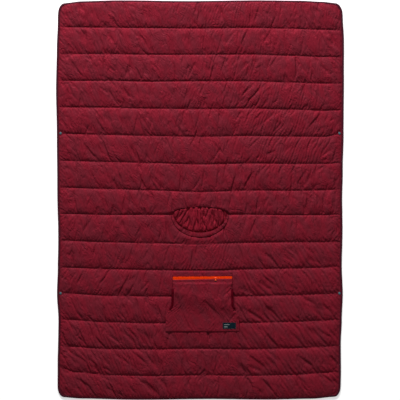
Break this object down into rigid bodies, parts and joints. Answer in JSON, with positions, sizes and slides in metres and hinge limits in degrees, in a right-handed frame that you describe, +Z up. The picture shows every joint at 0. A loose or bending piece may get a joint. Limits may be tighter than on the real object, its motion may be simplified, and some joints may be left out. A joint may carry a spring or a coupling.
{
  "type": "camp blanket",
  "caption": "Quilted poncho camp blanket with oval neck opening, hood tucked beneath, zipped kangaroo pocket, bound edges and snaps along both sides.",
  "frame": {"origin": "middle of the blanket's footprint, on the surface it lies on", "axes": "+X across the blanket, +Y towards the back hem (the long side beyond the neck opening), +Z up out of the face fabric"},
  "size_m": [1.43, 2, 0.0272],
  "materials": {
    "shell_fabric": "soft satin sheen, fine plain weave",
    "lining_fabric": "soft satin",
    "insulation": "matte loose fibre",
    "binding_tape": "matte grosgrain",
    "thread": "matte",
    "hood_fabric": "soft satin sheen",
    "zip_tape": "matte woven tape",
    "zip_coil": "semi-gloss",
    "slider_metal": "semi-gloss paint",
    "pull": "matte moulded grip",
    "snap_metal": "semi-gloss paint",
    "label": "matte woven"
  },
  "bodies": {
    "front_half": {"front_face_fabric": "shell_fabric", "front_lining": "lining_fabric", "fill_channel_09": "insulation", "fill_channel_10": "insulation", "fill_channel_11": "insulation", "fill_channel_12": "insulation", "fill_channel_13": "insulation", "fill_channel_14": "insulation", "fill_channel_15": "insulation", "front_binding": "binding_tape", "front_binding_thread": "thread", "front_quilt_threads": "thread", "neck_collar": "shell_fabric", "hood_left_panel": "hood_fabric", "hood_right_panel": "hood_fabric", "hood_center_seam": "hood_fabric", "hood_hem": "binding_tape", "pocket_backing": "lining_fabric", "pocket_top_strip": "shell_fabric", "pocket_panel": "shell_fabric", "hand_binding_left": "binding_tape", "hand_binding_right": "binding_tape", "pocket_bartacks": "thread", "pocket_threads": "thread", "pocket_label": "label", "zip_tape_upper": "zip_tape", "zip_tape_lower": "zip_tape", "zip_coil_upper": "zip_coil", "zip_coil_lower": "zip_coil", "zip_end_stops": "zip_coil", "snap_cap_front_left": "snap_metal", "snap_cap_front_right": "snap_metal", "snap_stud_left": "snap_metal", "snap_stud_right": "snap_metal"},
    "back_half": {"back_face_fabric": "shell_fabric", "back_lining": "lining_fabric", "fill_channel_01": "insulation", "fill_channel_02": "insulation", "fill_channel_03": "insulation", "fill_channel_04": "insulation", "fill_channel_05": "insulation", "fill_channel_06": "insulation", "fill_channel_07": "insulation", "fill_channel_08": "insulation", "back_binding": "binding_tape", "back_binding_thread": "thread", "back_quilt_threads": "thread", "hood_neck_base": "hood_fabric", "snap_cap_back_left": "snap_metal", "snap_cap_back_right": "snap_metal", "snap_socket_left": "snap_metal", "snap_socket_right": "snap_metal"},
    "zip_slider": {"zip_slider": "slider_metal"},
    "zip_pull": {"zip_pull": "pull"}
  },
  "joints": [
    {"name": "shoulder_fold", "type": "hinge", "parent": "front_half", "child": "back_half", "pos_m": [0, -0.06667, -0.0005], "axis": [-1, 0, 0], "range_deg": [0, 179.9]},
    {"name": "zip_slide", "type": "slide", "parent": "front_half", "child": "zip_slider", "axis": [1, 0, 0], "range_m": [-0.204, 0.072]},
    {"name": "pull_swing", "type": "hinge", "parent": "zip_slider", "child": "zip_pull", "pos_m": [0.078, -0.38817, 0.025], "axis": [-1, 0, 0], "range_deg": [0, 200]}
  ]
}
